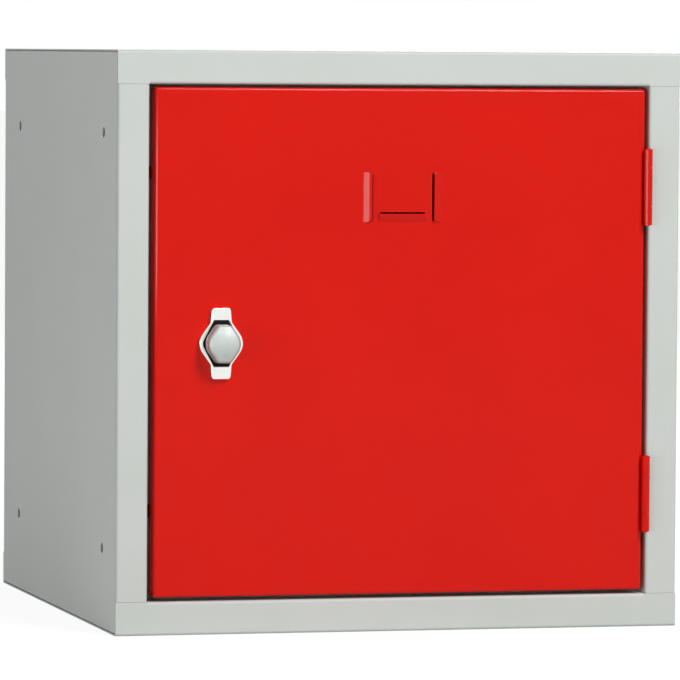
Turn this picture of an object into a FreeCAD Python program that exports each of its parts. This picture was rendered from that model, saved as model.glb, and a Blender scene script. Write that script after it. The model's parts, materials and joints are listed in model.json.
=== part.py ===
# Steel cube locker: folded carcass, inset hinged door, turn-knob lock. +Z is up and the front faces -Y.
import FreeCAD
import Part
import Sketcher
import math
import os
import re

SIZES = {
    # carcass, folded from sheet
    "width": 380,
    "depth": 380,
    "height": 380,
    "sheet": 0.9,
    "bend": 1.1,  # inside radius of the folds
    "flange_bend": 0.3,  # inside radius of the side's top and bottom flanges, which lie under another sheet
    "seam": 0.15,  # gap left where two sheets meet
    "stile": 21,
    "rail": 22,
    "rebate": 19,  # front face to the face of the door stop
    "door_stop": 12,
    "flange": 14,
    "hole_diameter": 7,
    "hole_front": 44,
    "hole_back": 56,
    "hole_level": 54,  # from the top and from the bottom
    # door pan
    "lock_gap": 4,
    "top_gap": 2,
    "bottom_gap": 2.7,
    "door_sheet": 0.9,
    "door_depth": 16,
    "door_lip": 11,
    "door_corner": 1.5,
    # card holder, three hoods pressed out of the door
    "card_drop": 54.9,  # from the top of the door to the top of the side hoods
    "card_opening": 42,
    "hood_length": 32.5,
    "hood_width": 5.4,
    "hood_height": 2.2,
    "hood_lean": 4,  # how far past its open side a hood's arc would peak
    "hood_round": 1.6,
    "hood_slot": 1,
    "sill_length": 32,
    # hinges
    "hinge_inset": 88.5,
    "hinge_height": 50,
    "knuckle_diameter": 5.6,
    "end_knuckle": 12,
    "knuckle_gap": 0.3,
    "leaf": 1.2,
    "leaf_gap": 0.5,
    "leaf_depth": 13,
    "pin_diameter": 3.4,
    "pin_clearance": 0.05,
    "pin_end": 0.6,
    "rivet_spacing": 30,
    "rivet_inset": 8,
    "rivet_diameter": 3.2,
    "rivet_head": 5.2,
    "rivet_tail": 4.8,
    "rivet_tail_height": 1.2,
    "rivet_clearance": 0.05,
    # door buffers
    "buffer_level": 80,  # from the top and from the bottom
    "buffer_diameter": 9,
    "buffer_gap": 0.3,
    "buffer_round": 1,
    "buffer_stem": 5,
    "buffer_bulb": 6.4,
    "buffer_tip": 4,
    "buffer_tail": 3.5,
    "buffer_clearance": 0.1,
    # lock, fixed to the door
    "lock_backset": 43.5,
    "lock_rise": 165.2,
    "base_plate": 4,
    "base_point": 16.9,  # where two flanks would meet without their round
    "base_point_round": 10.6,
    "base_shoulder": 13.8,
    "base_shoulder_half": 7.1,
    "tab_end": 23.2,
    "tab_end_half": 6.3,
    "base_round": 0.8,
    "base_corner": 2.2,
    "well_depth": 2,
    "well_rim": 3.9,  # from a flank's meeting point to that of the well
    "well_point_round": 5,
    "well_end": 15.4,
    "well_end_half": 5,
    "seal": 1.2,
    "seal_clearance": 0.2,
    "barrel_diameter": 18,
    "barrel_flats": 16,
    "barrel_clearance": 0.2,
    "lock_washer": 1,
    "lock_washer_diameter": 26,
    "lock_nut": 5,
    "lock_nut_flats": 23,
    # knob and what turns with it
    "knob_point": 13,
    "knob_point_round": 10.5,
    "knob_end": 12.4,
    "knob_end_half": 4.5,
    "knob_lift": 0.8,  # from the base to the back of the knob
    "knob_thickness": 11.5,
    "knob_dome": 42,
    "knob_corner": 3.4,
    "knob_round": 2.8,
    "neck_diameter": 16,
    "turn_gap": 0.2,
    "spindle_diameter": 8,
    "spindle_flats": 6,
    "spindle_grip": 7,
    "spindle_clearance": 0.05,
    "stop_washer": 1.5,
    "stop_washer_diameter": 12.4,
    "stop_lug_inner": 13,
    "stop_lug_outer": 15.8,
    "stop_ear": 4,
    "stop_ear_slack": 3,  # degrees of play at each end of the quarter turn
    "cam": 2,
    "cam_gap": 0.6,
    "cam_reach": 43.5,
    "cam_width": 14,
    "cam_hub": 20,
    "stud_diameter": 6,
    "stud_end": 1,
    "stud_clearance": 0.1,
    "cam_washer": 1.2,
    "cam_washer_diameter": 11,
    "cam_nut": 5,
    "cam_nut_flats": 10,
}
OVERCUT = 1  # how far a cutting shape runs past what it cuts
TOUCH = 1e-6

# Places that several pieces share, written in terms of the sizes
FRONT = "-depth / 2"
BACK = "depth / 2"
DOOR_LEFT = "-width / 2 + stile + lock_gap"
DOOR_RIGHT = "width / 2 - stile - 2 * leaf - leaf_gap"
DOOR_BOTTOM = "rail + bottom_gap"
DOOR_TOP = "height - rail - top_gap"
DOOR_MIDDLE = "(lock_gap - 2 * leaf - leaf_gap) / 2"
STOP_FACE = "-depth / 2 + rebate"
STOP_REAR = "-depth / 2 + rebate + sheet"
AXIS_X = "width / 2 - stile - leaf - leaf_gap / 2"
AXIS_Y = "-depth / 2 - knuckle_diameter / 2 - knuckle_gap"
LOCK_X = f"{DOOR_LEFT} + lock_backset"
LOCK_Z = f"{DOOR_BOTTOM} + lock_rise"
PLATE_FACE = "-depth / 2 - base_plate"
WELL_FLOOR = "-depth / 2 - base_plate + well_depth"
KNOB_REAR = "-depth / 2 - base_plate - knob_lift"
HOOD_DROP = "((hood_width + 2 * hood_lean) * hood_width - hood_height ^ 2) / (2 * hood_height)"
HOOD_ARC = f"sqrt(({HOOD_DROP}) ^ 2 + (hood_width + hood_lean) ^ 2)"
CAM_FACE = f"{STOP_REAR} + cam_gap"
STOP_WASHER_FACE = f"{CAM_FACE} - stop_washer"
BARREL_END = f"{STOP_WASHER_FACE} - turn_gap"
CAM_REAR = f"{CAM_FACE} + cam"

X = FreeCAD.Vector(1, 0, 0)
Y = FreeCAD.Vector(0, 1, 0)
Z = FreeCAD.Vector(0, 0, 1)
MOVES = {"right": (1, 0), "left": (-1, 0), "up": (0, 1), "down": (0, -1)}

doc = FreeCAD.newDocument("CubeLocker")
sizes = doc.addObject("Spreadsheet::Sheet", "Sizes")
for row, (alias, number) in enumerate(SIZES.items(), 1):
    sizes.set(f"A{row}", alias)
    sizes.set(f"B{row}", str(number))
    sizes.setAlias(f"B{row}", alias)
doc.recompute()
nodes = []


def in_sheet(text):
    """Point the names of sizes in an expression at the spreadsheet."""
    return re.sub(r"[a-z_]+", lambda m: "Sizes." + m.group() if m.group() in SIZES else m.group(), text)


def bind(thing, prop, text):
    thing.setExpression(prop, in_sheet(text))


def node(name, thing):
    """Name a finished sub-part, which is then written to its own file."""
    thing.Label = name
    nodes.append(thing)
    return thing


# Sketches and features of a folded or padded piece


def new_sketch(body, plane, level):
    """A sketch on an origin plane of its body, moved along that plane's axis to a level."""
    sketch = body.newObject("Sketcher::SketchObject", body.Name + "_sketch")
    support = next(f for f in body.Origin.OriginFeatures if f.Role == plane + "_Plane")
    sketch.AttachmentSupport = (support, [""])
    sketch.MapMode = "FlatFace"
    bind(sketch, "AttachmentOffset.Base.z", f"-({level})" if plane == "XZ" else level)
    return sketch


def place_point(sketch, geometry, point, across, up, start):
    """Hold a point of the sketch at two coordinates given as expressions."""
    for kind, text, value in (("DistanceX", across, start.x), ("DistanceY", up, start.y)):
        index = sketch.addConstraint(Sketcher.Constraint(kind, -1, 1, geometry, point, value))
        bind(sketch, f"Constraints[{index}]", text)


def polygon(sketch, corners):
    """A closed outline whose corners are pairs of expressions; returns the number of its first line."""
    first = sketch.GeometryCount
    count = len(corners)
    turns = [2 * math.pi * (i + 0.5) / count for i in range(count)]
    starts = [FreeCAD.Vector(math.cos(turn), math.sin(turn), 0) for turn in turns]
    for i in range(count):
        sketch.addGeometry(Part.LineSegment(starts[i], starts[(i + 1) % count]))
    for i in range(count):
        sketch.addConstraint(Sketcher.Constraint("Coincident", first + i, 2, first + (i + 1) % count, 1))
    for i, (across, up) in enumerate(corners):
        place_point(sketch, first + i, 1, across, up, starts[i])
    return first


def rectangle(sketch, left, right, low, high):
    return polygon(sketch, [(left, low), (right, low), (right, high), (left, high)])


def circle(sketch, across, up, diameter):
    number = sketch.addGeometry(Part.Circle(X + Y, Z, 1))
    place_point(sketch, number, 3, across, up, X + Y)
    index = sketch.addConstraint(Sketcher.Constraint("Diameter", number, 2))
    bind(sketch, f"Constraints[{index}]", diameter)


def extrude(body, kind, sketch, plane, length):
    """Pad or pocket a sketch towards + of its plane's axis."""
    feature = body.newObject("PartDesign::" + kind, f"{body.Name}_{kind.lower()}")
    feature.Profile = sketch
    bind(feature, "Length", length)
    feature.Reversed = (plane == "XZ") == (kind == "Pad")
    doc.recompute()
    return feature


def round_off(body, feature, names, radius):
    """Fillet named edges of the latest feature."""
    fillet = body.newObject("PartDesign::Fillet", body.Name + "_fillet")
    fillet.Base = (feature, names)
    bind(fillet, "Radius", radius)
    doc.recompute()
    return fillet


def edges_on(feature, sketch, lines):
    """Names of the straight edges that stand on the starts of some of a sketch's lines."""
    to_sketch = sketch.Placement.inverse()
    corners = [sketch.Geometry[line].StartPoint for line in lines]
    names = []
    for number, edge in enumerate(feature.Shape.Edges, 1):
        ends = [to_sketch.multVec(vertex.Point) for vertex in edge.Vertexes]
        for corner in corners:
            if len(ends) == 2 and all(math.hypot(p.x - corner.x, p.y - corner.y) < TOUCH for p in ends):
                names.append(f"Edge{number}")
    return names


def edges_at_level(feature, axis, level):
    """Names of the edges that lie wholly at one level along an axis."""
    return [
        f"Edge{number}"
        for number, edge in enumerate(feature.Shape.Edges, 1)
        if all(abs(vertex.Point.dot(axis) - level) < TOUCH for vertex in edge.Vertexes)
    ]


def fold(body, plane, level, length, start, moves, side, bend="bend"):
    """Pad a bent strip of sheet along a path of (direction, length) moves, its visible face on the path.

    The sheet lies to the left of the way of travel where side is 1 and to the right where it is -1.
    """
    path = [start]
    inward = []
    for direction, run in moves:
        dx, dy = MOVES[direction]
        path.append((f"{path[-1][0]} + {dx} * ({run})", f"{path[-1][1]} + {dy} * ({run})"))
        inward.append((-dy * side, dx * side))
    last = len(moves)
    offset = []
    for i, (across, up) in enumerate(path):
        sides = {inward[max(i - 1, 0)], inward[min(i, last - 1)]}
        steps = [sum(step) for step in zip(*sides)]
        offset.append((f"{across} + {steps[0]} * sheet", f"{up} + {steps[1]} * sheet"))
    sketch = new_sketch(body, plane, level)
    first = polygon(sketch, path + offset[::-1])
    feature = extrude(body, "Pad", sketch, plane, length)
    outer = []
    inner = []
    for i in range(1, last):
        before, after = MOVES[moves[i - 1][0]], MOVES[moves[i][0]]
        turn = before[0] * after[1] - before[1] * after[0]
        on_path = first + i
        across_sheet = first + 2 * last + 1 - i
        outer.append(on_path if turn == side else across_sheet)
        inner.append(across_sheet if turn == side else on_path)
    feature = round_off(body, feature, edges_on(feature, sketch, outer), f"{bend} + sheet")
    return round_off(body, feature, edges_on(feature, sketch, inner), bend)


# Primitives and booleans


def box(name, x, y, z):
    """A box between pairs of expressions along each axis."""
    solid = doc.addObject("Part::Box", name)
    for side, axis, (low, high) in zip(("Length", "Width", "Height"), "xyz", (x, y, z)):
        bind(solid, side, f"{high} - ({low})")
        bind(solid, f"Placement.Base.{axis}", low)
    return solid


def along(solid, axis, start, length):
    """Stand a primitive's height along an axis, from a start point given as expressions."""
    solid.Placement = FreeCAD.Placement(FreeCAD.Vector(), FreeCAD.Rotation(Z, axis))
    bind(solid, "Height", length)
    for letter, text in zip("xyz", start):
        bind(solid, f"Placement.Base.{letter}", text)
    return solid


def rod(name, axis, start, length, diameter):
    solid = doc.addObject("Part::Cylinder", name)
    bind(solid, "Radius", f"({diameter}) / 2")
    return along(solid, axis, start, length)


def taper(name, axis, start, length, diameter, end_diameter):
    solid = doc.addObject("Part::Cone", name)
    bind(solid, "Radius1", f"({diameter}) / 2")
    bind(solid, "Radius2", f"({end_diameter}) / 2")
    return along(solid, axis, start, length)


def hexagon(name, axis, start, length, flats):
    solid = doc.addObject("Part::Prism", name)
    bind(solid, "Circumradius", f"({flats}) / sqrt(3)")
    return along(solid, axis, start, length)


def join(name, *solids):
    if len(solids) == 1:
        return solids[0]
    union = doc.addObject("Part::MultiFuse", name)
    union.Shapes = list(solids)
    union.Refine = True
    return union


def cut(name, base, *tools):
    difference = doc.addObject("Part::Cut", name)
    difference.Base = base
    difference.Tool = join(name + "_tools", *tools)
    difference.Refine = True
    return difference


def common(name, first, second):
    overlap = doc.addObject("Part::MultiCommon", name)
    overlap.Shapes = [first, second]
    return overlap


def soften(name, base, size, wanted):
    """Round the edges that a test on an edge picks out."""
    doc.recompute()
    radius = sizes.get(size)
    fillet = doc.addObject("Part::Fillet", name)
    fillet.Base = base
    numbers = [number for number, edge in enumerate(base.Shape.Edges, 1) if wanted(edge)]
    fillet.Edges = [(number, radius, radius) for number in numbers]
    return fillet


def middle_of(edge):
    return edge.valueAt((edge.FirstParameter + edge.LastParameter) / 2)


def flatted_rod(name, start, length, diameter, flats):
    """A round bar along Y with two flats that face left and right."""
    x, y, z = start
    bar = rod(name + "_round", Y, start, length, diameter)
    slab_x = (f"{x} - ({flats}) / 2", f"{x} + ({flats}) / 2")
    slab_z = (f"{z} - ({diameter})", f"{z} + ({diameter})")
    slab = box(name + "_slab", slab_x, (y, f"{y} + {length}"), slab_z)
    return common(name, bar, slab)


# Carcass


def make_side_panel():
    """The left side: stop, rebate, stile, wall and rear flange in one fold, then top and bottom flanges."""
    body = doc.addObject("PartDesign::Body", "side_panel")
    stop_tip = ("-width / 2 + stile + door_stop", STOP_FACE)
    around = [
        ("left", "door_stop"),
        ("down", "rebate"),
        ("left", "stile"),
        ("up", "depth"),
        ("right", "flange"),
    ]
    fold(body, "XY", "rail + seam", "height - 2 * (rail + seam)", stop_tip, around, -1)
    flange_tip = ("-width / 2 + flange", "height - sheet - seam")
    upright = [("left", "flange"), ("down", "height - 2 * (sheet + seam)"), ("right", "flange")]
    wall_start, wall_length = f"{FRONT} + sheet + bend", "depth - 2 * (sheet + bend)"
    fold(body, "XZ", wall_start, wall_length, flange_tip, upright, 1, "flange_bend")
    holes = new_sketch(body, "YZ", f"-width / 2 - {OVERCUT}")
    for across in (f"{FRONT} + hole_front", f"{BACK} - hole_back"):
        for up in ("hole_level", "height - hole_level"):
            circle(holes, across, up, "hole_diameter")
    extrude(body, "Pocket", holes, "YZ", f"sheet + 2 * {OVERCUT}")
    relief = new_sketch(body, "XZ", f"{STOP_FACE} - bend - {OVERCUT}")
    relief_x = ("-width / 2 + stile", f"-width / 2 + stile + door_stop + {OVERCUT}")
    rectangle(relief, *relief_x, "rail", "rail + bend + seam")
    rectangle(relief, *relief_x, "height - rail - bend - seam", "height - rail")
    extrude(body, "Pocket", relief, "XZ", f"sheet + bend + 2 * {OVERCUT}")
    return body


def make_top_panel():
    """The top sheet with front and rear rails; the front rail folds back to the rebate and door stop."""
    body = doc.addObject("PartDesign::Body", "top_panel")
    between_stiles = "width / 2 - stile - seam"
    stop_tip = (STOP_REAR, "height - rail - door_stop")
    rebate = [("up", "door_stop"), ("left", "rebate + sheet"), ("up", "2 * (bend + sheet)")]
    fold(body, "YZ", f"-({between_stiles})", f"2 * ({between_stiles})", stop_tip, rebate, -1)
    rail_edge = (FRONT, "height - rail + bend + sheet")
    over = [("up", "rail - bend - sheet"), ("right", "depth"), ("down", "rail")]
    fold(body, "YZ", "-width / 2", "width", rail_edge, over, -1)
    ends = new_sketch(body, "XZ", FRONT)
    for left, right in (("-width / 2", f"-({between_stiles})"), (between_stiles, "width / 2")):
        rectangle(ends, left, right, "height - rail", "height - rail + bend + sheet")
    extrude(body, "Pad", ends, "XZ", "sheet")
    return body


def mirrored(name, source, normal):
    copy = doc.addObject("Part::Mirroring", name)
    copy.Source = source
    copy.Normal = normal
    return copy


def make_back_panel():
    """A flat sheet that lies against the inside of the rear flanges."""
    half = "(width / 2 - sheet - bend - seam)"
    edge = "2 * (sheet + seam)"
    sheet_y = (f"{BACK} - 2 * sheet", f"{BACK} - sheet")
    return box("back_sheet", (f"-{half}", half), sheet_y, (edge, f"height - {edge}"))


# Door


def make_hood(name, closed, x, z):
    """The outer and inner shapes of one pressed hood, an arc that rises from its closed to its open side."""
    outer_y = (f"{FRONT} - hood_height", f"{FRONT} + door_sheet")
    inner_y = (f"{FRONT} - hood_height + door_sheet", f"{FRONT} + door_sheet + {OVERCUT}")
    reach = []
    inset = []
    for (low, high), way in ((x, closed.x), (z, closed.z)):
        reach.append((f"{low} - {max(-way, 0) * OVERCUT}", f"{high} + {max(way, 0) * OVERCUT}"))
        low_step = {1: "-hood_slot", 0: "door_sheet", -1: "0"}[way]
        high_step = {1: "0", 0: "door_sheet", -1: "-hood_slot"}[way]
        inset.append((f"{low} + {low_step}", f"{high} - ({high_step})"))
    outer = box(name + "_outer", reach[0], outer_y, reach[1])
    inner = box(name + "_inner", inset[0], inner_y, inset[1])
    doc.recompute()

    def at_an_end(edge):
        in_front = edge.BoundBox.YMax < outer.Shape.BoundBox.YMin + TOUCH
        return in_front and abs(edge.tangentAt(0).dot(closed)) > 0.5

    ended = soften(name + "_ended", outer, "hood_round", at_an_end)
    roll_x = {1: f"{x[0]} - hood_lean", 0: x[0], -1: f"{x[1]} + hood_lean"}[closed.x]
    roll_z = {1: f"{z[0]} - hood_lean", 0: z[0], -1: f"{z[1]} + hood_lean"}[closed.z]
    roll_start = (roll_x, f"{FRONT} + {HOOD_DROP}", roll_z)
    axis, length = (Z, f"{z[1]} - ({z[0]})") if closed.x else (X, f"{x[1]} - ({x[0]})")
    roll = rod(name + "_roll", axis, roll_start, length, f"2 * {HOOD_ARC}")
    core = rod(name + "_core", axis, roll_start, length, f"2 * ({HOOD_ARC} - door_sheet)")
    return common(name + "_pressed", ended, roll), common(name + "_hollow", inner, core)


def door_outline(inset):
    """The four edges of the door, each moved inwards."""
    lows = (f"{DOOR_LEFT} + {inset}", f"{DOOR_BOTTOM} + {inset}")
    highs = (f"{DOOR_RIGHT} - ({inset})", f"{DOOR_TOP} - ({inset})")
    return lows[0], highs[0], lows[1], highs[1]


def make_door():
    """A folded pan with returns and lips, a pressed card holder and the hole for the lock."""
    body = doc.addObject("PartDesign::Body", "door_pan")
    outline = new_sketch(body, "XZ", FRONT)
    first = rectangle(outline, DOOR_LEFT, DOOR_RIGHT, DOOR_BOTTOM, DOOR_TOP)
    block = extrude(body, "Pad", outline, "XZ", "door_depth")
    block = round_off(body, block, edges_on(block, outline, range(first, first + 4)), "door_corner")
    face = block.Shape.BoundBox.YMin
    round_off(body, block, edges_at_level(block, Y, face), "bend + door_sheet")
    hollow = new_sketch(body, "XZ", f"{FRONT} + door_sheet")
    rectangle(hollow, *door_outline("door_sheet"))
    pan = extrude(body, "Pocket", hollow, "XZ", "door_depth - 2 * door_sheet")
    inside = face + sizes.get("door_sheet")
    round_off(body, pan, edges_at_level(pan, Y, inside), "bend")
    mouth = new_sketch(body, "XZ", f"{FRONT} + door_depth - door_sheet")
    rectangle(mouth, *door_outline("door_sheet + door_lip"))
    extrude(body, "Pocket", mouth, "XZ", f"door_sheet + {OVERCUT}")
    top = f"{DOOR_TOP} - card_drop"
    low = f"{top} - hood_length"
    side_hood = (f"{DOOR_MIDDLE} + card_opening / 2", f"{DOOR_MIDDLE} + card_opening / 2 + hood_width")
    other_hood = (f"{DOOR_MIDDLE} - card_opening / 2 - hood_width", f"{DOOR_MIDDLE} - card_opening / 2")
    sill = (f"{DOOR_MIDDLE} - sill_length / 2", f"{DOOR_MIDDLE} + sill_length / 2")
    hoods = [
        make_hood("left_hood", -X, other_hood, (low, top)),
        make_hood("right_hood", X, side_hood, (low, top)),
        make_hood("sill_hood", -Z, sill, (low, f"{low} + hood_width")),
    ]
    pressed = join("pressed_door", body, *[outer for outer, inner in hoods])
    hole_start = (LOCK_X, f"{FRONT} - {OVERCUT}", LOCK_Z)
    hole_length = f"door_sheet + 2 * {OVERCUT}"
    hole_sizes = [f"{size} + 2 * barrel_clearance" for size in ("barrel_diameter", "barrel_flats")]
    hole = flatted_rod("lock_hole", hole_start, hole_length, *hole_sizes)
    return cut("door", pressed, *[inner for outer, inner in hoods], hole)


# Hinges


def make_hinge(place, middle):
    """One hinge: leaf on the stile with end knuckles, leaf on the door with middle knuckle, pin, rivets."""
    low = f"{middle} - hinge_height / 2"
    high = f"{middle} + hinge_height / 2"
    mid_low = f"{low} + end_knuckle + knuckle_gap"
    mid_high = f"{high} - (end_knuckle + knuckle_gap)"
    knuckle_y = f"{AXIS_Y} + knuckle_diameter / 2 + knuckle_gap"
    leaf_y = (AXIS_Y, f"{FRONT} + leaf_depth")
    notch_y = (f"{AXIS_Y} - {OVERCUT}", knuckle_y)
    gap_x = (f"{AXIS_X} - leaf_gap / 2 - leaf", f"{AXIS_X} + leaf_gap / 2 + leaf")
    bore_start = (AXIS_X, AXIS_Y, f"{low} - {OVERCUT}")
    bore_length = f"hinge_height + 2 * {OVERCUT}"
    bore_diameter = "pin_diameter + 2 * pin_clearance"

    def knuckle(name, start, length):
        return rod(f"{place}_{name}", Z, (AXIS_X, AXIS_Y, start), length, "knuckle_diameter")

    rivets = []
    rivet_holes = []
    for number, way in ((1, "-"), (2, "+")):
        z = f"{middle} {way} rivet_spacing / 2"
        for list_of, room in ((rivets, "0"), (rivet_holes, "2 * rivet_clearance")):
            name = f"{place}_rivet_{number}_{len(rivet_holes)}"
            head_start = (f"{AXIS_X} + leaf_gap / 2", f"{FRONT} + rivet_inset", z)
            shank_start = ("width / 2 - stile", f"{FRONT} + rivet_inset", z)
            tail_start = ("width / 2 - stile + sheet", f"{FRONT} + rivet_inset", z)
            wide = f"rivet_head + {room}"
            slim = f"rivet_diameter + {room}"
            head = taper(name + "_head", X, head_start, "leaf", wide, slim)
            shank = rod(name + "_shank", X, shank_start, "sheet", slim)
            tail = rod(name + "_tail", X, tail_start, "rivet_tail_height", "rivet_tail")
            list_of.append(join(name, head, shank, tail) if room == "0" else join(name, head, shank))
    group = doc.addObject("Part::Compound", place + "_rivet_group")
    group.Links = rivets

    plate = box(place + "_frame_plate", (f"{AXIS_X} + leaf_gap / 2", gap_x[1]), leaf_y, (low, high))
    notch_z = (f"{mid_low} - knuckle_gap", f"{mid_high} + knuckle_gap")
    notched = cut(place + "_frame_notched", plate, box(place + "_frame_notch", gap_x, notch_y, notch_z))
    ends = [
        knuckle("low_knuckle", low, "end_knuckle"),
        knuckle("high_knuckle", f"{high} - end_knuckle", "end_knuckle"),
    ]
    frame_leaf = cut(
        place + "_frame",
        join(place + "_frame_rolled", notched, *ends),
        rod(place + "_frame_bore", Z, bore_start, bore_length, bore_diameter),
        *rivet_holes,
    )

    plate = box(place + "_door_plate", (gap_x[0], f"{AXIS_X} - leaf_gap / 2"), leaf_y, (low, high))
    low_notch = box(place + "_low_notch", gap_x, notch_y, (f"{low} - {OVERCUT}", mid_low))
    high_notch = box(place + "_high_notch", gap_x, notch_y, (mid_high, f"{high} + {OVERCUT}"))
    notched = cut(place + "_door_notched", plate, low_notch, high_notch)
    rolled = join(place + "_door_rolled", notched, knuckle("knuckle", mid_low, f"{mid_high} - ({mid_low})"))
    bore = rod(place + "_door_bore", Z, bore_start, bore_length, bore_diameter)
    door_leaf = cut(place + "_door", rolled, bore)

    pin_start = (AXIS_X, AXIS_Y, f"{low} - pin_end")
    bar = rod(place + "_pin_bar", Z, pin_start, "hinge_height + 2 * pin_end", "pin_diameter")
    pin = soften(place + "_pin", bar, "pin_end", lambda edge: len(edge.Vertexes) == 1)

    node(f"{place}_hinge_frame_leaf", frame_leaf)
    node(f"{place}_hinge_door_leaf", door_leaf)
    node(f"{place}_hinge_pin", pin)
    node(f"{place}_hinge_rivets", group)
    return rivet_holes


# Door buffers


def make_buffer(place, level):
    """A rubber button pushed through a hole in the door stop; returns the hole."""
    across = "-width / 2 + stile + door_stop / 2"
    head_height = "rebate - door_depth - buffer_gap"
    head_start = (across, STOP_FACE, level)
    head = rod(place + "_head", -Y, head_start, head_height, "buffer_diameter")
    doc.recompute()
    face = head.Shape.BoundBox.YMin + TOUCH
    front = soften(place + "_head_rounded", head, "buffer_round", lambda edge: middle_of(edge).y < face)
    stem = rod(place + "_stem", Y, head_start, "sheet", "buffer_stem")
    bulb_start = (across, STOP_REAR, level)
    bulb = taper(place + "_bulb", Y, bulb_start, "buffer_tail", "buffer_bulb", "buffer_tip")
    node(f"{place}_door_buffer", join(place + "_buffer_solid", front, stem, bulb))
    return rod(
        place + "_buffer_hole",
        Y,
        (across, f"{STOP_FACE} - {OVERCUT}", level),
        f"sheet + 2 * {OVERCUT}",
        "buffer_stem + 2 * buffer_clearance",
    )


# Lock


def six_sides(half_width, end_half, end):
    """A hexagon about the lock with points at the left and right and flats at the top and bottom."""
    corners = []
    for across, up in ((1, 0), (1, 1), (-1, 1), (-1, 0), (-1, -1), (1, -1)):
        reach = end_half if up else half_width
        corners.append((f"{LOCK_X} + {across} * ({reach})", f"{LOCK_Z} + {up} * ({end})"))
    return corners


def make_lock_base():
    """The cast base: a plate with two tabs and a well for the seal, and the barrel that passes the door."""
    body = doc.addObject("PartDesign::Body", "lock_plate")
    sketch = new_sketch(body, "XZ", PLATE_FACE)
    point = ("base_point", "0")
    quarter = [point, ("base_shoulder_half", "base_shoulder"), ("tab_end_half", "tab_end")]
    right = [(f"{LOCK_X} + {across}", f"{LOCK_Z} + {up}") for across, up in quarter]
    left = [(f"{LOCK_X} - {across}", f"{LOCK_Z} + {up}") for across, up in quarter[::-1]]
    low_left = [(f"{LOCK_X} - {across}", f"{LOCK_Z} - {up}") for across, up in quarter[1:]]
    low_right = [(f"{LOCK_X} + {across}", f"{LOCK_Z} - {up}") for across, up in quarter[:0:-1]]
    corners = right + left + low_left + low_right
    first = polygon(sketch, corners)
    plate = extrude(body, "Pad", sketch, "XZ", "base_plate")
    points = (first, first + len(corners) // 2)
    others = [line for line in range(first, first + len(corners)) if line not in points]
    plate = round_off(body, plate, edges_on(plate, sketch, points), "base_point_round")
    plate = round_off(body, plate, edges_on(plate, sketch, others), "base_corner")
    round_off(body, plate, edges_at_level(plate, Y, plate.Shape.BoundBox.YMin), "base_round")
    well = new_sketch(body, "XZ", PLATE_FACE)
    first = polygon(well, six_sides("base_point - well_rim", "well_end_half", "well_end"))
    pocket = extrude(body, "Pocket", well, "XZ", "well_depth")
    round_off(body, pocket, edges_on(pocket, well, (first, first + 3)), "well_point_round")

    axis_start = (LOCK_X, FRONT, LOCK_Z)
    barrel_length = f"{BARREL_END} - ({FRONT})"
    barrel = flatted_rod("barrel", axis_start, barrel_length, "barrel_diameter", "barrel_flats")
    lug_start = (LOCK_X, BARREL_END, LOCK_Z)
    lug = rod("stop_lug_ring", Y, lug_start, "stop_washer", "stop_lug_outer")
    half_ear = math.degrees(math.asin(sizes.get("stop_ear") / sizes.get("stop_lug_inner")))
    play = half_ear + sizes.get("stop_ear_slack")
    lug.Angle = 270 - 2 * play
    lug.Placement.Rotation = FreeCAD.Rotation(Z, Y) * FreeCAD.Rotation(Z, 90 + play)
    core = rod("stop_lug_core", Y, lug_start, f"stop_washer + {OVERCUT}", "stop_lug_inner")
    stop_lug = cut("stop_lug", lug, core)
    bore_start = (LOCK_X, f"{PLATE_FACE} - {OVERCUT}", LOCK_Z)
    bore_length = f"{BARREL_END} - ({PLATE_FACE}) + 2 * {OVERCUT}"
    bore = rod("lock_bore", Y, bore_start, bore_length, "spindle_diameter + 2 * spindle_clearance")
    node("lock_base", cut("lock_base_bored", join("lock_base_cast", body, barrel, stop_lug), bore))


def make_lock_fixings():
    """The seal in front of the door, and the washer and nut that clamp the base from behind."""
    body = doc.addObject("PartDesign::Body", "seal_sheet")
    seal_front = f"{WELL_FLOOR} - seal"
    sketch = new_sketch(body, "XZ", seal_front)
    well = ("base_point - well_rim", "well_end_half", "well_end")
    first = polygon(sketch, six_sides(*[f"{reach} - seal_clearance" for reach in well]))
    circle(sketch, LOCK_X, LOCK_Z, "spindle_diameter + 2 * seal_clearance")
    seal = extrude(body, "Pad", sketch, "XZ", "seal")
    round_off(body, seal, edges_on(seal, sketch, (first, first + 3)), "well_point_round")
    node("lock_seal", body)

    skin = f"{FRONT} + door_sheet"
    hole = "barrel_diameter + 2 * barrel_clearance"
    washer = rod("lock_washer_disc", Y, (LOCK_X, skin, LOCK_Z), "lock_washer", "lock_washer_diameter")
    washer_hole = rod("lock_washer_hole", Y, (LOCK_X, skin, LOCK_Z), "lock_washer", hole)
    node("lock_washer", cut("lock_washer_ring", washer, washer_hole))
    nut_start = (LOCK_X, f"{skin} + lock_washer", LOCK_Z)
    nut = hexagon("lock_nut_hex", Y, nut_start, "lock_nut", "lock_nut_flats")
    node("lock_nut", cut("lock_nut_ring", nut, rod("lock_nut_hole", Y, nut_start, "lock_nut", hole)))


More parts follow.
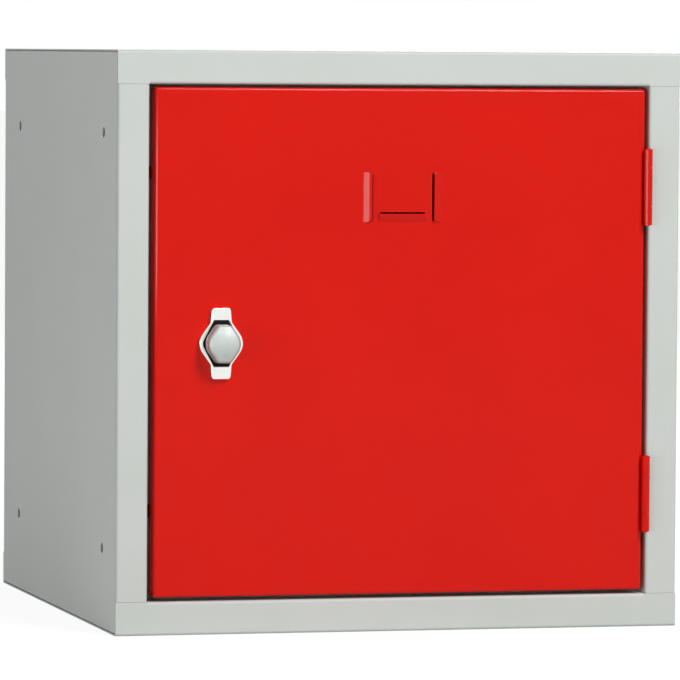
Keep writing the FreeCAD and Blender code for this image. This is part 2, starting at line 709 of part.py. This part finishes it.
def make_knob():
    """The six-sided knob with a domed face, a neck that turns on the seal and a hole for the spindle."""
    body = doc.addObject("PartDesign::Body", "knob_head")
    knob_face = f"{KNOB_REAR} - knob_thickness"
    sketch = new_sketch(body, "XZ", knob_face)
    first = polygon(sketch, six_sides("knob_point", "knob_end_half", "knob_end"))
    head = extrude(body, "Pad", sketch, "XZ", "knob_thickness")
    points = (first, first + 3)
    others = [line for line in range(first, first + 6) if line not in points]
    head = round_off(body, head, edges_on(head, sketch, points), "knob_point_round")
    round_off(body, head, edges_on(head, sketch, others), "knob_corner")
    ball = doc.addObject("Part::Sphere", "knob_ball")
    bind(ball, "Radius", "knob_dome")
    for letter, text in zip("xyz", (LOCK_X, f"{knob_face} + knob_dome", LOCK_Z)):
        bind(ball, f"Placement.Base.{letter}", text)
    domed = common("knob_domed", body, ball)
    doc.recompute()

    def on_rim(edge):
        centre = ball.Placement.Base
        return all(abs((v.Point - centre).Length - ball.Radius.Value) < TOUCH for v in edge.Vertexes)

    rounded = soften("knob_rounded", domed, "knob_round", on_rim)
    neck_start = (LOCK_X, f"{WELL_FLOOR} - seal - turn_gap", LOCK_Z)
    neck_length = f"{WELL_FLOOR} - seal - turn_gap - ({KNOB_REAR})"
    neck = rod("knob_neck", -Y, neck_start, neck_length, "neck_diameter")
    whole = join("knob_whole", rounded, neck)
    hole_start = (LOCK_X, f"{KNOB_REAR} - spindle_grip", LOCK_Z)
    hole_length = f"spindle_grip + {neck_length} + {OVERCUT}"
    hole = rod("knob_hole", Y, hole_start, hole_length, "spindle_diameter + 2 * spindle_clearance")
    node("lock_knob", cut("knob_bored", whole, hole))


def make_spindle():
    """The shaft: round in the barrel, flatted where it drives stop washer and cam, a stud for the nut."""
    grip = (LOCK_X, f"{KNOB_REAR} - spindle_grip", LOCK_Z)
    shaft = rod("spindle_shaft", Y, grip, f"{STOP_WASHER_FACE} - ({grip[1]})", "spindle_diameter")
    drive_start = (LOCK_X, STOP_WASHER_FACE, LOCK_Z)
    drive_length = f"{CAM_REAR} - ({STOP_WASHER_FACE})"
    drive = flatted_rod("spindle_drive", drive_start, drive_length, "spindle_diameter", "spindle_flats")
    stud_length = "cam_washer + cam_nut + stud_end"
    stud = rod("spindle_stud", Y, (LOCK_X, CAM_REAR, LOCK_Z), stud_length, "stud_diameter")
    node("lock_spindle", join("spindle_turned", shaft, drive, stud))


def drive_hole(name, start, length):
    room = "2 * spindle_clearance"
    return flatted_rod(name, start, length, f"spindle_diameter + {room}", f"spindle_flats + {room}")


def make_cam():
    """What turns behind the door: the stop washer with its ear, the cam hanging down, washer and nut."""
    start = (LOCK_X, STOP_WASHER_FACE, LOCK_Z)
    disc = rod("stop_disc", Y, start, "stop_washer", "stop_washer_diameter")
    ear_x = (LOCK_X, f"{LOCK_X} + stop_lug_outer / 2")
    ear_y = (STOP_WASHER_FACE, CAM_FACE)
    ear = box("stop_ear_bar", ear_x, ear_y, (f"{LOCK_Z} - stop_ear / 2", f"{LOCK_Z} + stop_ear / 2"))
    hole = drive_hole("stop_washer_hole", start, "stop_washer")
    node("lock_stop_washer", cut("stop_washer_cut", join("stop_washer_blank", disc, ear), hole))

    start = (LOCK_X, CAM_FACE, LOCK_Z)
    tip_z = f"{LOCK_Z} - cam_reach + cam_width / 2"
    hub = rod("cam_hub_disc", Y, start, "cam", "cam_hub")
    tip = rod("cam_tip_disc", Y, (LOCK_X, CAM_FACE, tip_z), "cam", "cam_width")
    arm_x = (f"{LOCK_X} - cam_width / 2", f"{LOCK_X} + cam_width / 2")
    arm = box("cam_arm", arm_x, (CAM_FACE, CAM_REAR), (tip_z, LOCK_Z))
    node("lock_cam", cut("cam_cut", join("cam_blank", hub, arm, tip), drive_hole("cam_hole", start, "cam")))

    hole = "stud_diameter + 2 * stud_clearance"
    start = (LOCK_X, CAM_REAR, LOCK_Z)
    disc = rod("cam_washer_disc", Y, start, "cam_washer", "cam_washer_diameter")
    node("cam_washer", cut("cam_washer_ring", disc, rod("cam_washer_hole", Y, start, "cam_washer", hole)))
    start = (LOCK_X, f"{CAM_REAR} + cam_washer", LOCK_Z)
    nut = hexagon("cam_nut_hex", Y, start, "cam_nut", "cam_nut_flats")
    node("cam_nut", cut("cam_nut_ring", nut, rod("cam_nut_hole", Y, start, "cam_nut", hole)))


# Assembly

side = make_side_panel()
top = make_top_panel()
buffer_holes = [
    make_buffer("lower", "buffer_level"),
    make_buffer("upper", "height - buffer_level"),
]
node("left_side_panel", cut("left_side", side, *buffer_holes))
hinge_holes = make_hinge("lower", "hinge_inset") + make_hinge("upper", "height - hinge_inset")
node("right_side_panel", cut("right_side", mirrored("side_mirrored", side, X), *hinge_holes))
node("top_panel", top)
bottom = mirrored("bottom", top, Z)
bind(bottom, "Base.z", "height / 2")
node("bottom_panel", bottom)
node("back_panel", make_back_panel())
node("door_panel", make_door())
make_lock_base()
make_lock_fixings()
make_knob()
make_spindle()
make_cam()
doc.recompute()

broken = [thing.Name for thing in doc.Objects if {"Invalid", "Error"} & set(thing.State)]
broken += [thing.Label for thing in nodes if thing.Shape.isNull() or not thing.Shape.isValid()]
if broken:
    raise RuntimeError(f"these did not build: {broken}")
os.makedirs("parts", exist_ok=True)
for thing in nodes:
    thing.Shape.exportStep(f"parts/{thing.Label}.step")
    print(f"{thing.Label}: {len(thing.Shape.Solids)} solid, {thing.Shape.Volume / 1000:.2f} cm3")
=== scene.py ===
import json
import math
import bmesh
import bpy
from mathutils import Matrix, Vector

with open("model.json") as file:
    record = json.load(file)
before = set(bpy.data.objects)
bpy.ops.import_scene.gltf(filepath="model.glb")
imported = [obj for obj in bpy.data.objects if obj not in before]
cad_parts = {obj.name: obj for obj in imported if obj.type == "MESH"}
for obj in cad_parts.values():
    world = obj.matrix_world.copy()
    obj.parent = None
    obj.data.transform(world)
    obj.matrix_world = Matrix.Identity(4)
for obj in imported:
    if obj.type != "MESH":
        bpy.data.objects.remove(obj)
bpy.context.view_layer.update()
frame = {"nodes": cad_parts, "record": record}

mmPerMetre = 1000
noiseLow, noiseHigh = 0.3, 0.7  # most values of a noise texture lie between these
mixedColour = 2  # index of a Mix node's colour output


def hexColour(text):
    # sRGB hex to the linear values that a shader takes
    parts = [int(text[i:i + 2], 16) / 255 for i in (1, 3, 5)]
    linear = [c / 12.92 if c <= 0.04045 else ((c + 0.055) / 1.055) ** 2.4 for c in parts]
    return (*linear, 1)


def addNode(tree, kind, sockets={}, **settings):
    # a node with its settings; a socket takes a value or a link from another node's output
    node = tree.nodes.new(kind)
    for name, value in settings.items():
        setattr(node, name, value)
    for name, value in sockets.items():
        named = [s for s in node.inputs if s.name == name and s.enabled]
        socket = named[0] if named else node.inputs[name]
        if isinstance(value, bpy.types.NodeSocket):
            tree.links.new(value, socket)
        else:
            socket.default_value = value
    return node


def newMaterial(name):
    material = bpy.data.materials.new(name)
    material.use_nodes = True
    material.node_tree.nodes.clear()
    return material, material.node_tree


# Polyester powder coat, baked on sheet steel: an even colour, a soft gloss and a faint orange peel
powderCoat = {
    "cloudMm": 70,  # slow drift of the film's thickness
    "cloudDetail": 2,
    "grainMm": 0.5,  # pigment grain, drawn coarser than it is so that it shows
    "grainDetail": 1,
    "peelMm": 2.4,  # width of one orange-peel hump
    "peelHeightMm": 0.006,
    "peelDetail": 1.5,
    "peelBreakUp": 0.4,
    "roughnessSpread": 0.03,
    "ior": 1.5,
    "grey": {"base": "#cfd4d0", "cloud": "#cbd1cc", "roughness": 0.28, "specular": 0.1},
    "red": {"base": "#db1100", "cloud": "#d70f00", "roughness": 0.08, "specular": 0.15},
}


def makePowderCoat(name, colours):
    material, tree = newMaterial(name)
    place = addNode(tree, "ShaderNodeTexCoord").outputs["Object"]
    cloud = addNode(tree, "ShaderNodeTexNoise", {
        "Vector": place, "Scale": mmPerMetre / powderCoat["cloudMm"],
        "Detail": powderCoat["cloudDetail"]})
    grain = addNode(tree, "ShaderNodeTexNoise", {
        "Vector": place, "Scale": mmPerMetre / powderCoat["grainMm"],
        "Detail": powderCoat["grainDetail"]})
    peel = addNode(tree, "ShaderNodeTexNoise", {
        "Vector": place, "Scale": mmPerMetre / powderCoat["peelMm"],
        "Detail": powderCoat["peelDetail"], "Roughness": powderCoat["peelBreakUp"]})
    drift = addNode(tree, "ShaderNodeMapRange", {
        "Value": cloud.outputs["Fac"], "From Min": noiseLow, "From Max": noiseHigh})
    tone = addNode(tree, "ShaderNodeMix", {
        "Factor": drift.outputs["Result"],
        "A": hexColour(colours["base"]), "B": hexColour(colours["cloud"])}, data_type="RGBA")
    spread = powderCoat["roughnessSpread"]
    gloss = addNode(tree, "ShaderNodeMapRange", {
        "Value": grain.outputs["Fac"], "From Min": noiseLow, "From Max": noiseHigh,
        "To Min": colours["roughness"] - spread, "To Max": colours["roughness"] + spread})
    bump = addNode(tree, "ShaderNodeBump", {
        "Height": peel.outputs["Fac"], "Strength": 1,
        "Distance": powderCoat["peelHeightMm"] / mmPerMetre})
    shader = addNode(tree, "ShaderNodeBsdfPrincipled", {
        "Base Color": tone.outputs[mixedColour], "Roughness": gloss.outputs["Result"],
        "IOR": powderCoat["ior"], "Specular IOR Level": colours["specular"],
        "Normal": bump.outputs["Normal"]})
    addNode(tree, "ShaderNodeOutputMaterial", {"Surface": shader.outputs["BSDF"]})
    return material


# Chrome plate on a zinc die casting: the base is a bright mirror that the casting's skin makes slightly wavy,
# and the knob is tumbled to a satin that hands have dulled in patches
castChrome = {
    "waveMm": 3.5,
    "waveHeightMm": 0.01,
    "waveDetail": 1,
    "smearMm": 6,
    "smearDetail": 4,
    "bright": {"clear": "#f3f4ef", "dulled": "#e9ece6", "roughness": (0.16, 0.24)},
    "satin": {"clear": "#b6bbb8", "dulled": "#a6ada9", "roughness": (0.54, 0.64)},
}


def makeChromePlate(name, skin):
    material, tree = newMaterial(name)
    place = addNode(tree, "ShaderNodeTexCoord").outputs["Object"]
    wave = addNode(tree, "ShaderNodeTexNoise", {
        "Vector": place, "Scale": mmPerMetre / castChrome["waveMm"], "Detail": castChrome["waveDetail"]})
    smear = addNode(tree, "ShaderNodeTexNoise", {
        "Vector": place, "Scale": mmPerMetre / castChrome["smearMm"], "Detail": castChrome["smearDetail"]})
    tone = addNode(tree, "ShaderNodeMix", {
        "Factor": smear.outputs["Fac"],
        "A": hexColour(skin["clear"]), "B": hexColour(skin["dulled"])}, data_type="RGBA")
    gloss = addNode(tree, "ShaderNodeMapRange", {
        "Value": smear.outputs["Fac"], "From Min": noiseLow, "From Max": noiseHigh,
        "To Min": skin["roughness"][0], "To Max": skin["roughness"][1]})
    bump = addNode(tree, "ShaderNodeBump", {
        "Height": wave.outputs["Fac"], "Strength": 1,
        "Distance": castChrome["waveHeightMm"] / mmPerMetre})
    shader = addNode(tree, "ShaderNodeBsdfPrincipled", {
        "Base Color": tone.outputs[mixedColour], "Metallic": 1, "Roughness": gloss.outputs["Result"],
        "Normal": bump.outputs["Normal"]})
    addNode(tree, "ShaderNodeOutputMaterial", {"Surface": shader.outputs["BSDF"]})
    return material


# Zinc-plated and passivated steel: a satin blue-white metal with cloudy patches and fine drawing marks
zincPlate = {
    "clear": "#c3c6c6",
    "cloudy": "#aeb0a8",
    "cloudMm": 5,
    "cloudDetail": 3,
    "markMm": 0.6,  # drawing marks, wider than real so that they show
    "markStretch": (1, 1, 0.08),  # draws the marks out along Z
    "markHeightMm": 0.004,
    "markDetail": 2,
    "roughness": (0.3, 0.48),
}


def makeZincPlate(name):
    material, tree = newMaterial(name)
    place = addNode(tree, "ShaderNodeTexCoord").outputs["Object"]
    cloud = addNode(tree, "ShaderNodeTexNoise", {
        "Vector": place, "Scale": mmPerMetre / zincPlate["cloudMm"], "Detail": zincPlate["cloudDetail"]})
    stretch = addNode(tree, "ShaderNodeMapping", {"Vector": place, "Scale": zincPlate["markStretch"]})
    mark = addNode(tree, "ShaderNodeTexNoise", {
        "Vector": stretch.outputs["Vector"], "Scale": mmPerMetre / zincPlate["markMm"],
        "Detail": zincPlate["markDetail"]})
    tone = addNode(tree, "ShaderNodeMix", {
        "Factor": cloud.outputs["Fac"],
        "A": hexColour(zincPlate["clear"]), "B": hexColour(zincPlate["cloudy"])}, data_type="RGBA")
    gloss = addNode(tree, "ShaderNodeMapRange", {
        "Value": cloud.outputs["Fac"], "From Min": noiseLow, "From Max": noiseHigh,
        "To Min": zincPlate["roughness"][0], "To Max": zincPlate["roughness"][1]})
    bump = addNode(tree, "ShaderNodeBump", {
        "Height": mark.outputs["Fac"], "Strength": 1,
        "Distance": zincPlate["markHeightMm"] / mmPerMetre})
    shader = addNode(tree, "ShaderNodeBsdfPrincipled", {
        "Base Color": tone.outputs[mixedColour], "Metallic": 1, "Roughness": gloss.outputs["Result"],
        "Normal": bump.outputs["Normal"]})
    addNode(tree, "ShaderNodeOutputMaterial", {"Surface": shader.outputs["BSDF"]})
    return material


# Moulded rubber: dark and matt, with a paler bloom on the humps of a fine grain
mouldedRubber = {
    "grainMm": 0.6,
    "grainHeightMm": 0.02,
    "grainDetail": 2,
    "roughness": (0.62, 0.8),
    "specular": 0.12,
    "ior": 1.52,
    "buffer": {"dark": "#2a2b2c", "bloom": "#383a3a"},
    # near-black seal in the lock's well: dark rubber of its own, made darker still as painted shade for the
    # recess round the knob
    "seal": {"dark": "#0b0c0c", "bloom": "#151616"},
}


def makeRubber(name, colours):
    material, tree = newMaterial(name)
    place = addNode(tree, "ShaderNodeTexCoord").outputs["Object"]
    grain = addNode(tree, "ShaderNodeTexNoise", {
        "Vector": place, "Scale": mmPerMetre / mouldedRubber["grainMm"],
        "Detail": mouldedRubber["grainDetail"]})
    tone = addNode(tree, "ShaderNodeMix", {
        "Factor": grain.outputs["Fac"],
        "A": hexColour(colours["dark"]), "B": hexColour(colours["bloom"])}, data_type="RGBA")
    gloss = addNode(tree, "ShaderNodeMapRange", {
        "Value": grain.outputs["Fac"], "From Min": noiseLow, "From Max": noiseHigh,
        "To Min": mouldedRubber["roughness"][0], "To Max": mouldedRubber["roughness"][1]})
    bump = addNode(tree, "ShaderNodeBump", {
        "Height": grain.outputs["Fac"], "Strength": 1,
        "Distance": mouldedRubber["grainHeightMm"] / mmPerMetre})
    shader = addNode(tree, "ShaderNodeBsdfPrincipled", {
        "Base Color": tone.outputs[mixedColour], "Roughness": gloss.outputs["Result"],
        "IOR": mouldedRubber["ior"], "Specular IOR Level": mouldedRubber["specular"],
        "Normal": bump.outputs["Normal"]})
    addNode(tree, "ShaderNodeOutputMaterial", {"Surface": shader.outputs["BSDF"]})
    return material


finishes = {
    "grey_paint": makePowderCoat("powderCoatedSteelGrey", powderCoat["grey"]),
    "red_paint": makePowderCoat("powderCoatedSteelRed", powderCoat["red"]),
    "chrome_plate": makeChromePlate("brightChromedCasting", castChrome["bright"]),
    "plated_steel": makeZincPlate("zincPlatedSteel"),
    "buffer_rubber": makeRubber("bufferRubber", mouldedRubber["buffer"]),
    "seal_rubber": makeRubber("sealRubberPaintedShade", mouldedRubber["seal"]),
}
ownFinishes = {"lock_knob": makeChromePlate("satinChromedCasting", castChrome["satin"])}
for part in frame["record"]["subparts"]:
    mesh = frame["nodes"][part["node"]].data
    mesh.materials.clear()
    mesh.materials.append(ownFinishes.get(part["node"], finishes[part["material_slot"]]))

# Studio: a pale floor in a white surround, a large softbox high on the right that leaves the door gaps dark,
# a long low strip on the left that lights the side wall and streaks the rounded edges, and a softbox behind
studio = {
    "floorSize": 60,
    "floorColour": "#cfcfcf",
    "floorWhite": 0.82,  # share of plain white that the camera sees; the rest shows the shadow
    "floorGlow": 1.14,
    "skyColour": "#ffffff",
    "skyStrength": 0.05,
    "lampAim": (0, -0.19, 0.19),  # middle of the locker's front
}
# azimuth in degrees from the front to the right, height in degrees, lengths in metres, power in watts
softboxes = {
    "keySoftbox": {"azimuth": 23, "height": 40, "distance": 3.6, "size": (1, 1.6), "power": 106},
    "sideStrip": {"azimuth": -51, "height": 1.3, "distance": 1.8, "size": (1.75, 0.16), "power": 9},
    "backSoftbox": {"azimuth": 155, "height": 24, "distance": 3.6, "size": (1.6, 1.6), "power": 48},
}


def whiteWhenSeen(tree, plain, white, share):
    # camera, mirrored and transmitted rays see white, and all other rays meet the plain surface
    path = addNode(tree, "ShaderNodeLightPath").outputs
    seen = addNode(tree, "ShaderNodeMath", {
        0: path["Is Camera Ray"], 1: path["Is Glossy Ray"]}, operation="MAXIMUM")
    seen = addNode(tree, "ShaderNodeMath", {
        0: seen.outputs[0], 1: path["Is Transmission Ray"]}, operation="MAXIMUM")
    seen = addNode(tree, "ShaderNodeMath", {0: seen.outputs[0], 1: share}, operation="MULTIPLY")
    return addNode(tree, "ShaderNodeMixShader", {0: seen.outputs[0], 1: plain, 2: white}).outputs[0]


floorPaint, floorTree = newMaterial("paleFloor")
plain = addNode(floorTree, "ShaderNodeBsdfDiffuse", {"Color": hexColour(studio["floorColour"])})
white = addNode(floorTree, "ShaderNodeEmission", {"Strength": studio["floorGlow"]})
addNode(floorTree, "ShaderNodeOutputMaterial", {
    "Surface": whiteWhenSeen(floorTree, plain.outputs[0], white.outputs[0], studio["floorWhite"])})
floorMesh = bpy.data.meshes.new("floor")
bm = bmesh.new()
bmesh.ops.create_grid(bm, x_segments=1, y_segments=1, size=studio["floorSize"] / 2)
bm.to_mesh(floorMesh)
bm.free()
floorMesh.materials.append(floorPaint)
floor = bpy.data.objects.new("floor", floorMesh)
bpy.context.collection.objects.link(floor)

world = bpy.data.worlds.new("whiteSurround")
world.use_nodes = True
skyTree = world.node_tree
skyTree.nodes.clear()
skyColour = hexColour(studio["skyColour"])
sky = addNode(skyTree, "ShaderNodeBackground", {"Color": skyColour, "Strength": studio["skyStrength"]})
white = addNode(skyTree, "ShaderNodeBackground", {"Color": skyColour, "Strength": 1})
addNode(skyTree, "ShaderNodeOutputWorld", {
    "Surface": whiteWhenSeen(skyTree, sky.outputs[0], white.outputs[0], 1)})
bpy.context.scene.world = world

for name, box in softboxes.items():
    lamp = bpy.data.lights.new(name, "AREA")
    lamp.shape = "RECTANGLE"
    lamp.size, lamp.size_y = box["size"]
    lamp.energy = box["power"]
    softbox = bpy.data.objects.new(name, lamp)
    aside, up = math.radians(box["azimuth"]), math.radians(box["height"])
    toLamp = Vector((math.sin(aside) * math.cos(up), -math.cos(aside) * math.cos(up), math.sin(up)))
    softbox.location = Vector(studio["lampAim"]) + box["distance"] * toLamp
    softbox.rotation_euler = toLamp.to_track_quat("Z", "Y").to_euler()
    softbox.visible_camera = False
    bpy.context.collection.objects.link(softbox)
print("studio: floor, surround and", len(softboxes), "softboxes")

# Camera: a long lens in front of the locker, to its left and level with its top
view = {
    "place": (-0.9622, -3.7747, 0.3808),
    "yaw": 14.41,  # degrees to the right of straight ahead
    "pitch": -2.927,
    "roll": 0.389,
    "lens": 300.6,
    "sensor": 36,
}
levelTilt = 90  # a camera with no turn looks down, and at this tilt it looks straight ahead
camera = bpy.data.objects.new("camera", bpy.data.cameras.new("camera"))
camera.data.sensor_width = view["sensor"]
camera.data.lens = view["lens"]
turn = Matrix.Rotation(math.radians(-view["yaw"]), 4, "Z")
tilt = Matrix.Rotation(math.radians(levelTilt + view["pitch"]), 4, "X")
roll = Matrix.Rotation(math.radians(view["roll"]), 4, "Z")
camera.matrix_world = Matrix.Translation(view["place"]) @ turn @ tilt @ roll
bpy.context.collection.objects.link(camera)
bpy.context.scene.camera = camera
bpy.context.scene.view_settings.view_transform = "Standard"
